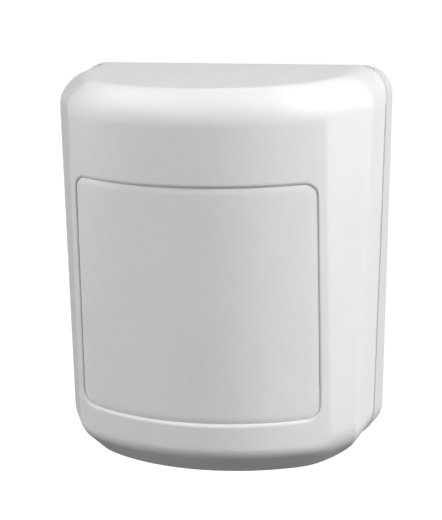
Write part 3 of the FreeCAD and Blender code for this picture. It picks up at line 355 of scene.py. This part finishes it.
def lock_cutters():
    """Round head pocket, shank hole and bar slot in the cover's foot."""
    def circle(width):
        turns = np.linspace(0, 2 * math.pi, 72, endpoint=False)
        return [(width / 2 * math.cos(a), LOCK_Y + width / 2 * math.sin(a)) for a in turns]

    corners = ((LOCK_SLOT_LONG, LOCK_SLOT_WIDE), (-LOCK_SLOT_LONG, LOCK_SLOT_WIDE),
               (-LOCK_SLOT_LONG, -LOCK_SLOT_WIDE), (LOCK_SLOT_LONG, -LOCK_SLOT_WIDE))
    slot = [((u - v) / math.sqrt(8), LOCK_Y + (u + v) / math.sqrt(8)) for u, v in corners]
    below, above = -HEIGHT / 2 - 1, -HEIGHT / 2 + WALL + 1
    return [upright_cutter(circle(LOCK_POCKET), below, -HEIGHT / 2 + LOCK_SEAT),
            upright_cutter(circle(LOCK_HOLE), below, above),
            upright_cutter(slot, below, above)]


def lens_panel():
    """The curved lens: rounded rim, smooth face, and the skirt on its back."""
    def contour(trim):
        return rounded_frame(WINDOW_HALF - trim, WINDOW_LOW + trim, WINDOW_HIGH - trim,
                             max(WINDOW_ROUND - trim, 0.4), STRAIGHT, CORNER)[0]

    def sheet(outline, radius):
        return np.stack([outline[:, 0], front_y(outline[:, 0], outline[:, 1], radius),
                         outline[:, 1]], axis=1)

    def shrink(outline, share):
        centre = np.array((0.0, (WINDOW_LOW + WINDOW_HIGH) / 2))
        return centre + (outline - centre) * share

    face, back = FRONT_R - LENS_RECESS, FRONT_R - LENS_RECESS - LENS_THICK
    skirt = THROUGH + SKIRT_GAP
    end = FRONT_R - SKIRT_REACH
    inside = contour(LENS_GAP + LENS_RIM)
    rings = [sheet(shrink(inside, share), face) for share in np.linspace(0, 1, 48)]
    for share in np.linspace(0, 1, 13)[1:]:
        trim = LENS_GAP + LENS_RIM * (1 - share)
        rings.append(sheet(contour(trim), face - LENS_DROP * share ** 2))
    rings += [sheet(contour(LENS_GAP), back + 0.1), sheet(contour(LENS_GAP + 0.1), back)]
    rings += [sheet(contour(skirt), back), sheet(contour(skirt), end + 0.2)]
    rings += [sheet(contour(skirt + 0.2), end), sheet(contour(skirt + SKIRT_THICK), end)]
    inner = contour(skirt + SKIRT_THICK)
    rings += [sheet(inner, back)]
    rings += [sheet(shrink(inner, share), back) for share in np.linspace(1, 0, 24)[1:]]
    points = np.stack(rings, axis=1)
    around, along = points.shape[:2]
    faces = ring_faces(around, along, False)
    panel = mesh_object("lens_panel", points.reshape(-1, 3), faces, "lens", "cover")
    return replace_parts(panel, "fresnel_lens")


def lens_grooves():
    """Ridged sheet behind the lens face: three rows of small round-grooved lenses."""
    half, low, high, ridge_deep, ridge_wide = 22.4, -24.4, 17.4, 0.16, 0.9
    rows = ((3.5, high + 1, 7), (-11.5, 3.5, 5), (low - 1, -11.5, 3))   # bottom, top, lenses
    xs = np.linspace(-half, half, 180)
    zs = np.linspace(low, high, 168)
    x, z = np.meshgrid(xs, zs, indexing="ij")
    ridge = np.zeros_like(x)
    for bottom, top, count in rows:
        wide = 2 * half / count
        column = np.clip(np.floor((x + half) / wide), 0, count - 1)
        middle = -half + (column + 0.5) * wide
        reach = np.hypot(x - middle, z - (max(bottom, low) + min(top, high)) / 2)
        in_row = (z >= bottom) & (z < top)
        ridge = np.where(in_row, ridge_deep * ((reach / ridge_wide) % 1.0), ridge)
    back = FRONT_R - LENS_RECESS - LENS_THICK
    near = np.stack([x, front_y(x, z, back - 0.05 - ridge), z], axis=-1)
    far = np.stack([x, front_y(x, z, back + 0.1), z], axis=-1)
    return grid_slab("lens_grooves", near, far, "lens", "cover")


def grid_slab(name, near, far, slot, body):
    """Closed slab between two grids of points."""
    nx, nz = near.shape[:2]
    points = np.concatenate([near.reshape(-1, 3), far.reshape(-1, 3)])
    faces = []
    shift = nx * nz
    for i in range(nx - 1):
        for k in range(nz - 1):
            a, b, c, d = i * nz + k, (i + 1) * nz + k, (i + 1) * nz + k + 1, i * nz + k + 1
            faces.append((a, b, c, d))
            faces.append((d + shift, c + shift, b + shift, a + shift))
    rim = [(i, 0) for i in range(nx)] + [(nx - 1, k) for k in range(1, nz)]
    rim += [(i, nz - 1) for i in range(nx - 2, -1, -1)] + [(0, k) for k in range(nz - 2, 0, -1)]
    spots = [i * nz + k for i, k in rim]
    for a, b in zip(spots, spots[1:] + spots[:1]):
        faces.append((a, a + shift, b + shift, b))
    return mesh_object(name, points, faces, slot, body, 20.0)


def swept_block(name, outline, start, end, slot, body, ease_by=0.2):
    """Outline in Y and Z run along X, with its edges eased."""
    bm = bmesh.new()
    near = [bm.verts.new(Vector((start, y, z)) * MM) for y, z in outline]
    far = [bm.verts.new(Vector((end, y, z)) * MM) for y, z in outline]
    bm.faces.new(near)
    bm.faces.new(far[::-1])
    for i in range(len(outline)):
        j = (i + 1) % len(outline)
        bm.faces.new((near[j], near[i], far[i], far[j]))
    sharp = [e for e in bm.edges if e.calc_face_angle(0) > math.radians(40)]
    bmesh.ops.bevel(bm, geom=sharp, offset=ease_by * MM, segments=3, profile=0.5, affect="EDGES")
    bmesh.ops.recalc_face_normals(bm, faces=bm.faces)
    mesh = bpy.data.meshes.new(name)
    bm.to_mesh(mesh)
    bm.free()
    return finished_piece(name, mesh, slot, body, 35.0)


def cover_fittings():
    """Two hooks under the top edge and the arm that holds the tamper plunger down."""
    bar_y, bar_z, root_y = -1.8, 40.0, -5.2
    outer, inner, half_width = 2.9, 1.7, 4.0
    turns = np.radians(np.linspace(-90, -53, 9))
    outline = [(root_y, bar_z - outer)]
    outline += [(bar_y + outer * math.cos(a), bar_z + outer * math.sin(a)) for a in turns]
    outline += [(bar_y + inner * math.cos(a), bar_z + inner * math.sin(a)) for a in turns[::-1]]
    outline += [(root_y, bar_z - inner)]
    for name, x in (("cover_hook_left", -14.0), ("cover_hook_right", 14.0)):
        swept_block(name, outline, x - half_width, x + half_width, "housing", "cover", 0.12)
    arm = [(-18.55, 14.0), (-15.55, 14.0), (-15.55, 17.0), (-18.55, 17.0)]
    swept_block("tamper_arm", arm, 21.4, 32.2, "housing", "cover")


# ---------------------------------------------------------------- materials

class Shader:
    """A material's node tree, with short calls to add and join nodes."""

    def __init__(self, name):
        self.material = bpy.data.materials.new(name)
        self.material.use_nodes = True
        self.tree = self.material.node_tree
        self.surface = self.tree.nodes["Principled BSDF"]
        self.spot = self.add("ShaderNodeTexCoord").outputs["Object"]

    def add(self, kind, inputs=None, **settings):
        """New node with its settings, and its inputs joined or filled in."""
        made = self.tree.nodes.new(kind)
        for key, setting in settings.items():
            setattr(made, key, setting)
        for key, source in (inputs or {}).items():
            self.join(source, made.inputs[key])
        return made

    def join(self, source, target):
        """Link a socket to an input, or write a plain value there."""
        if isinstance(source, bpy.types.NodeSocket):
            self.tree.links.new(source, target)
        else:
            target.default_value = source

    def set(self, **inputs):
        """Fill in the surface's inputs by short names."""
        names = {"color": "Base Color", "rough": "Roughness", "metal": "Metallic",
                 "normal": "Normal", "glow": "Emission Color", "glow_power": "Emission Strength",
                 "specular": "Specular IOR Level", "coat": "Coat Weight",
                 "coat_rough": "Coat Roughness", "clear": "Transmission Weight",
                 "soft": "Subsurface Weight", "soft_reach": "Subsurface Scale"}
        for key, source in inputs.items():
            self.join(source, self.surface.inputs[names[key]])

    def stretched(self, x, y, z):
        """Object coordinates stretched along each axis."""
        node = self.add("ShaderNodeMapping", {"Vector": self.spot, "Scale": (x, y, z)})
        return node.outputs["Vector"]

    def noise(self, size_mm, detail=3.0, stretch=(1, 1, 1)):
        """Noise from 0 to 1 with features of about that size."""
        node = self.add("ShaderNodeTexNoise", {"Vector": self.stretched(*stretch),
                        "Scale": 1 / (size_mm * MM), "Detail": detail, "Roughness": 0.55})
        return node.outputs["Fac"]

    def math(self, kind, a, b=0.0, c=0.0):
        """One arithmetic step."""
        node = self.add("ShaderNodeMath", operation=kind)
        for socket, source in zip(node.inputs, (a, b, c)):
            self.join(source, socket)
        return node.outputs[0]

    def spread(self, fac, low, high):
        """Noise turned into a range of values, most of it used."""
        node = self.add("ShaderNodeMapRange", {"Value": fac, "From Min": 0.3, "From Max": 0.7,
                                               "To Min": low, "To Max": high})
        return node.outputs["Result"]

    def mix(self, fac, a, b):
        """Colour between a and b."""
        node = self.add("ShaderNodeMix", data_type="RGBA")
        self.join(fac, node.inputs[0])
        self.join(a if isinstance(a, bpy.types.NodeSocket) else (*a, 1.0), node.inputs[6])
        self.join(b if isinstance(b, bpy.types.NodeSocket) else (*b, 1.0), node.inputs[7])
        return node.outputs[2]

    def axis(self, name):
        """One object coordinate, in millimetres."""
        parts = self.add("ShaderNodeSeparateXYZ", {"Vector": self.spot})
        return self.math("MULTIPLY", parts.outputs[name], 1000.0)

    def eased_normal(self, reach_mm):
        """Normal that rounds every edge over that reach."""
        node = self.add("ShaderNodeBevel", {"Radius": reach_mm * MM}, samples=4)
        return node.outputs["Normal"]

    # Edge mask, used for polish in the roughness and for painted edge light in the colour.
    def edge_wear_and_painted_light(self, reach_mm):
        """Near 1 along outer and inner edges and 0 on flats."""
        eased = self.eased_normal(reach_mm)
        true = self.add("ShaderNodeNewGeometry").outputs["Normal"]
        dot = self.add("ShaderNodeVectorMath", {0: eased, 1: true}, operation="DOT_PRODUCT")
        node = self.add("ShaderNodeMapRange", {"Value": dot.outputs["Value"], "From Min": 1.0,
                                               "From Max": 0.85, "To Min": 0.0, "To Max": 1.0})
        return node.outputs["Result"]

    def bump(self, height, depth_mm, normal=None):
        """Normal with small heights added."""
        inputs = {"Height": height, "Distance": depth_mm * MM, "Strength": 1.0}
        if normal is not None:
            inputs["Normal"] = normal
        return self.add("ShaderNodeBump", inputs).outputs["Normal"]


def shaded(color, share):
    """A colour made darker or lighter by a share."""
    return tuple(min(1.0, channel * share) for channel in color)


def moulded_plastic(name, color, rough, grain_mm=0.25, depth_mm=0.004, streak=0.0, soft=0.0,
                    edge_mm=0.15, painted_edge_light=1.06):
    """Moulded plastic: faint mottle, fine grain, flow streaks, slightly polished edges and painted
    edge light.
    """
    shader = Shader(name)
    mottle = shader.spread(shader.noise(9.0, 2.0), 0.0, 1.0)
    tone = shader.mix(mottle, shaded(color, 0.985), shaded(color, 1.01))
    flow = shader.noise(0.5, 2.0, (0.06, 1, 1))
    tone = shader.mix(shader.spread(flow, 0.0, streak), tone, shaded(color, 0.93))
    # The edge tint in the colour is painted light: a painted highlight when the edge tone is above
    # 1, painted shade when below 1. The lower roughness at the edges is real polish.
    edge_mask = shader.edge_wear_and_painted_light(edge_mm)
    share = 0.35 if painted_edge_light > 1 else 1.0
    tone = shader.mix(shader.math("MULTIPLY", edge_mask, share), tone, shaded(color, painted_edge_light))
    rough_map = shader.spread(shader.noise(1.6), rough - 0.035, rough + 0.035)
    rough_map = shader.math("SUBTRACT", rough_map, shader.math("MULTIPLY", edge_mask, 0.06))
    grain = shader.math("ADD", shader.noise(grain_mm, 4.0), shader.math("MULTIPLY", flow, 0.6))
    normal = shader.bump(grain, depth_mm, shader.eased_normal(edge_mm))
    shader.set(color=tone, rough=rough_map, normal=normal, soft=soft, soft_reach=0.0008)
    return shader.material


def plated_metal(name, color, rough, brush=(1, 1, 1), grain_mm=0.12, depth_mm=0.002):
    """Metal with fine brush lines or grain, faint stains and a painted highlight along its edges.
    """
    shader = Shader(name)
    stain = shader.spread(shader.noise(2.5, 3.0), 0.0, 1.0)
    tone = shader.mix(stain, shaded(color, 0.88), shaded(color, 1.04))
    # Painted highlight: the colour is made lighter along the edges.
    edge_mask = shader.edge_wear_and_painted_light(0.1)
    tone = shader.mix(shader.math("MULTIPLY", edge_mask, 0.5), tone, shaded(color, 1.2))
    lines = shader.noise(grain_mm, 3.0, brush)
    rough_map = shader.spread(lines, rough - 0.07, rough + 0.08)
    shader.set(color=tone, metal=1.0, rough=rough_map,
               normal=shader.bump(lines, depth_mm, shader.eased_normal(0.06)))
    return shader.material


def board_material(name):
    """Solder mask over copper tracks, with bare glass-fibre edges."""
    shader = Shader(name)
    x, z = (shader.axis(key) for key in "XZ")
    cell = shader.add("ShaderNodeCombineXYZ", {"X": x, "Y": z, "Z": 0.0}).outputs[0]
    tracks = shader.add("ShaderNodeTexBrick", {"Vector": cell, "Scale": 1.0, "Mortar Size": 0.16,
                        "Mortar Smooth": 0.1, "Brick Width": 5.2, "Row Height": 1.9},
                        offset=0.37, squash=0.7, squash_frequency=3).outputs["Fac"]
    bends = shader.add("ShaderNodeTexVoronoi", {"Vector": cell, "Scale": 0.34},
                       distance="MANHATTAN", feature="DISTANCE_TO_EDGE").outputs["Distance"]
    bends = shader.math("LESS_THAN", bends, 0.045)
    pads = shader.add("ShaderNodeTexVoronoi", {"Vector": cell, "Scale": 0.42,
                      "Randomness": 0.8}).outputs["Distance"]
    ring = shader.math("LESS_THAN", pads, 0.16)
    copper = shader.math("MAXIMUM", shader.math("MAXIMUM", tracks, bends), ring)
    mask = shader.mix(copper, (0.006, 0.075, 0.028), (0.014, 0.16, 0.055))
    speck = shader.math("LESS_THAN", pads, 0.075)
    mask = shader.mix(speck, mask, (0.55, 0.52, 0.46))
    normal_y = shader.add("ShaderNodeSeparateXYZ", {
        "Vector": shader.add("ShaderNodeNewGeometry").outputs["Normal"]}).outputs["Y"]
    edge = shader.math("LESS_THAN", shader.math("ABSOLUTE", normal_y), 0.5)
    weave = shader.spread(shader.noise(0.3), 0, 1)
    fibre = shader.mix(weave, (0.33, 0.3, 0.16), (0.46, 0.42, 0.25))
    rough = shader.spread(shader.noise(1.2), 0.24, 0.34)
    rough = shader.math("ADD", rough, shader.math("MULTIPLY", edge, 0.4))
    height = shader.math("ADD", copper, shader.math("MULTIPLY", shader.noise(0.35), 0.25))
    shader.set(color=shader.mix(edge, mask, fibre), rough=rough, coat=0.25,
               metal=shader.math("MULTIPLY", speck, 0.9),
               normal=shader.bump(height, 0.03, shader.eased_normal(0.06)))
    return shader.material


def battery_material(name):
    """Plain shrink sleeve with a pale band, and bare metal ends."""
    shader = Shader(name)
    x, y, z = (shader.axis(key) for key in "XYZ")
    low, high = (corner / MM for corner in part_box("battery"))
    middle_y, middle_z = (low.y + high.y) / 2, (low.z + high.z) / 2
    off_y = shader.math("SUBTRACT", y, middle_y)
    off_z = shader.math("SUBTRACT", z, middle_z)
    radius = shader.math("SQRT", shader.math("ADD", shader.math("MULTIPLY", off_y, off_y),
                                             shader.math("MULTIPLY", off_z, off_z)))
    bare = shader.math("LESS_THAN", radius, 6.6)
    beyond = shader.math("GREATER_THAN", x, high.x - 0.6)
    bare = shader.math("MAXIMUM", bare, beyond)
    band = shader.math("COMPARE", x, high.x - 9.0, 2.4)
    sleeve = shader.mix(band, (0.02, 0.05, 0.16), (0.55, 0.57, 0.6))
    crinkle = shader.noise(0.9, 3.0, (0.25, 1, 1))
    stain = shader.spread(shader.noise(0.6), 0, 1)
    metal = shader.mix(stain, (0.55, 0.54, 0.5), (0.68, 0.67, 0.63))
    dull = shader.math("MULTIPLY", bare, 0.12)
    rough = shader.math("ADD", shader.spread(crinkle, 0.2, 0.3), dull)
    shader.set(color=shader.mix(bare, sleeve, metal), metal=bare, rough=rough, coat=0.3,
               normal=shader.bump(crinkle, 0.012, shader.eased_normal(0.3)))
    return shader.material


def capacitor_material(name):
    """Dark sleeve with a pale polarity band, and a bare can top with a pressed cross, painted
    darker in its groove as shade.
    """
    shader = Shader(name)
    x, y, z = (shader.axis(key) for key in "XYZ")
    low, high = (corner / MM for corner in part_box("capacitors"))
    top = shader.math("LESS_THAN", y, low.y + 0.35)
    band = shader.math("GREATER_THAN", z, high.z - 0.9)
    sleeve = shader.mix(band, (0.012, 0.014, 0.02), (0.5, 0.52, 0.55))
    wrap = shader.math("PINGPONG", shader.math("SUBTRACT", x, low.x + 2.5), 3.3)
    cross = shader.math("MINIMUM", wrap, shader.math("ABSOLUTE", shader.math(
        "SUBTRACT", z, (low.z + high.z) / 2)))
    groove = shader.math("MULTIPLY", shader.math("LESS_THAN", cross, 0.16), top)
    # Painted shade: the can's colour is darker in the pressed groove.
    can = shader.mix(groove, (0.7, 0.7, 0.7), (0.3, 0.3, 0.3))
    fine = shader.noise(0.2)
    height = shader.math("SUBTRACT", shader.math("MULTIPLY", fine, 0.15), groove)
    shader.set(color=shader.mix(top, sleeve, can), metal=top,
               rough=shader.spread(fine, 0.26, 0.36),
               normal=shader.bump(height, 0.06, shader.eased_normal(0.1)))
    return shader.material


def clear_material(name, color, clear, rough):
    """Tinted clear or polished part with faint moulding waves."""
    shader = Shader(name)
    wave = shader.noise(1.1, 2.0)
    tone = shader.mix(shader.spread(wave, 0, 1), shaded(color, 0.9), shaded(color, 1.1))
    shader.set(color=tone, clear=clear, rough=shader.spread(shader.noise(0.4), rough, rough + 0.05),
               normal=shader.bump(wave, 0.01, shader.eased_normal(0.08)), coat=0.5)
    return shader.material


WHITE = (0.8, 0.8, 0.795)
MATERIALS = {
    "housing": moulded_plastic("housing", WHITE, 0.42, streak=0.25, soft=0.1, edge_mm=0.2),
    # The base's darker edges are painted shade, over half a millimetre along every edge, which
    # darkens the seam and the top strip.
    "base_housing": moulded_plastic("base_housing", shaded(WHITE, 0.89), 0.45, streak=0.2,
                                    edge_mm=0.5, painted_edge_light=0.8),
    "lens": moulded_plastic("lens", WHITE, 0.4, 0.4, 0.003, streak=0.3, soft=0.15, edge_mm=0.12),
    "inner_plastic": moulded_plastic("inner_plastic", (0.79, 0.79, 0.77), 0.45, soft=0.1),
    "board": board_material("board"),
    "steel": plated_metal("steel", (0.62, 0.62, 0.64), 0.3, (1, 1, 0.12)),
    "nickel": plated_metal("nickel", (0.72, 0.7, 0.66), 0.26),
    "filter": clear_material("filter", (0.02, 0.012, 0.02), 0.0, 0.06),
    "led": clear_material("led", (0.75, 0.02, 0.015), 0.75, 0.08),
    "battery_wrap": battery_material("battery_wrap"),
    "black_plastic": moulded_plastic("black_plastic", (0.022, 0.022, 0.024), 0.48, 0.15, 0.008),
    "spring_steel": plated_metal("spring_steel", (0.7, 0.67, 0.62), 0.28, (1, 0.15, 1)),
    "gold_pins": plated_metal("gold_pins", (0.83, 0.62, 0.25), 0.22),
    "jumper_blue": moulded_plastic("jumper_blue", (0.015, 0.05, 0.32), 0.35, 0.2, 0.004),
    "chip_black": moulded_plastic("chip_black", (0.02, 0.02, 0.022), 0.55, 0.1, 0.01),
    "tin": plated_metal("tin", (0.74, 0.74, 0.73), 0.34),
    "capacitor_sleeve": capacitor_material("capacitor_sleeve"),
    "antenna": plated_metal("antenna", (0.76, 0.4, 0.22), 0.25, (1, 1, 0.1)),
}


def dress_pieces():
    """Give every CAD node and every new piece the material of its slot."""
    slots = {row["node"]: row["material_slot"] for row in frame["record"]["subparts"]}
    for name, item in NODES.items():
        item.data.materials.clear()
        item.data.materials.append(MATERIALS[slots[name]])
    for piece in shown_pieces():
        if "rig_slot" in piece:
            piece.data.materials.clear()
            piece.data.materials.append(MATERIALS[piece["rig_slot"]])


# ---------------------------------------------------------------- studio

CAMERA_SIDE, CAMERA_RISE, CAMERA_AWAY = 16.96, 13.58, 0.374      # degrees, degrees, metres
CAMERA_TURNS = ((-1.6, "Z"), (0.5787, "Y"), (-0.5216, "X"))      # small turns off the centre
FOCAL, SENSOR = 118.0, 36.0


def make_camera():
    """Camera slightly right of and above the object, with a long lens."""
    azimuth, elevation = math.radians(CAMERA_SIDE), math.radians(CAMERA_RISE)
    data = bpy.data.cameras.new("camera")
    data.lens = FOCAL
    data.sensor_width = SENSOR
    data.clip_start = 0.01
    camera = bpy.data.objects.new("camera", data)
    bpy.context.scene.collection.objects.link(camera)
    back = Vector((math.sin(azimuth) * math.cos(elevation),
                   -math.cos(azimuth) * math.cos(elevation), math.sin(elevation)))
    camera.location = back * CAMERA_AWAY
    camera.rotation_mode = "QUATERNION"
    aim = (-back).to_track_quat("-Z", "Y").to_matrix()
    for turn, axis in CAMERA_TURNS:
        aim = aim @ Matrix.Rotation(math.radians(turn), 3, axis)
    camera.rotation_quaternion = aim.to_quaternion()
    bpy.context.scene.camera = camera


def softbox(name, azimuth, elevation, power, distance=0.9, size=0.5):
    """Square area light that faces the object from a direction."""
    a, e = math.radians(azimuth), math.radians(elevation)
    away = Vector((math.sin(a) * math.cos(e), -math.cos(a) * math.cos(e), math.sin(e)))
    light = bpy.data.lights.new(name, "AREA")
    light.shape = "SQUARE"
    light.size = size
    light.energy = power
    lamp = bpy.data.objects.new(name, light)
    lamp.location = away * distance
    lamp.rotation_mode = "QUATERNION"
    lamp.rotation_quaternion = away.to_track_quat("Z", "Y")
    bpy.context.scene.collection.objects.link(lamp)


LAMPS = (                               # name, azimuth, elevation, watts
    ("key_right", 75, 40, 8.6),
    ("top_left", -75, 40, 3.55),
    ("side_left", -75, 10, 1.9),
    ("front_left", -35, 40, 1.6),
    ("low_left", -35, -20, 0.95),
    ("low_right", 35, -20, 1.5),
    ("back_right", 110, 10, 2.0),
    ("low_back", 150, -20, 0.7),
)


FLOOR_Z, FLOOR_HALF = -1.2, 8.0         # metres


def make_floor():
    """Plain pale floor well below the object, which takes no shadow and gives no light back."""
    mesh = bpy.data.meshes.new("floor")
    corners = ((-1, -1), (1, -1), (1, 1), (-1, 1))
    mesh.from_pydata([(x * FLOOR_HALF, y * FLOOR_HALF, FLOOR_Z) for x, y in corners],
                     [], [(0, 1, 2, 3)])
    floor = bpy.data.objects.new("floor", mesh)
    bpy.context.scene.collection.objects.link(floor)
    shader = Shader("floor")
    pale = shader.mix(shader.noise(60.0), (0.9, 0.9, 0.9), (0.92, 0.92, 0.92))
    shader.set(color=pale, rough=0.9, glow=pale, glow_power=1.2)
    mesh.materials.append(shader.material)
    for way in ("diffuse", "glossy", "transmission", "shadow"):
        setattr(floor, "visible_" + way, False)


def make_world(ambient):
    """Even fill for the object, and a pure white surround for the camera."""
    world = bpy.data.worlds.new("studio")
    bpy.context.scene.world = world
    world.use_nodes = True
    nodes, links = world.node_tree.nodes, world.node_tree.links
    fill = nodes["Background"]
    fill.inputs["Color"].default_value = (1, 1, 1, 1)
    fill.inputs["Strength"].default_value = ambient
    white = nodes.new("ShaderNodeBackground")
    white.inputs["Color"].default_value = (1, 1, 1, 1)
    white.inputs["Strength"].default_value = 1.0
    seen = nodes.new("ShaderNodeLightPath")
    mix = nodes.new("ShaderNodeMixShader")
    links.new(seen.outputs["Is Camera Ray"], mix.inputs[0])
    links.new(fill.outputs[0], mix.inputs[1])
    links.new(white.outputs[0], mix.inputs[2])
    links.new(mix.outputs[0], nodes["World Output"].inputs["Surface"])


cover_shell()
lens_panel()
lens_grooves()
cover_fittings()
dress_pieces()
make_camera()
make_world(0.0)
for lamp in LAMPS:
    softbox(*lamp)
make_floor()
bpy.context.scene.view_settings.view_transform = "Standard"
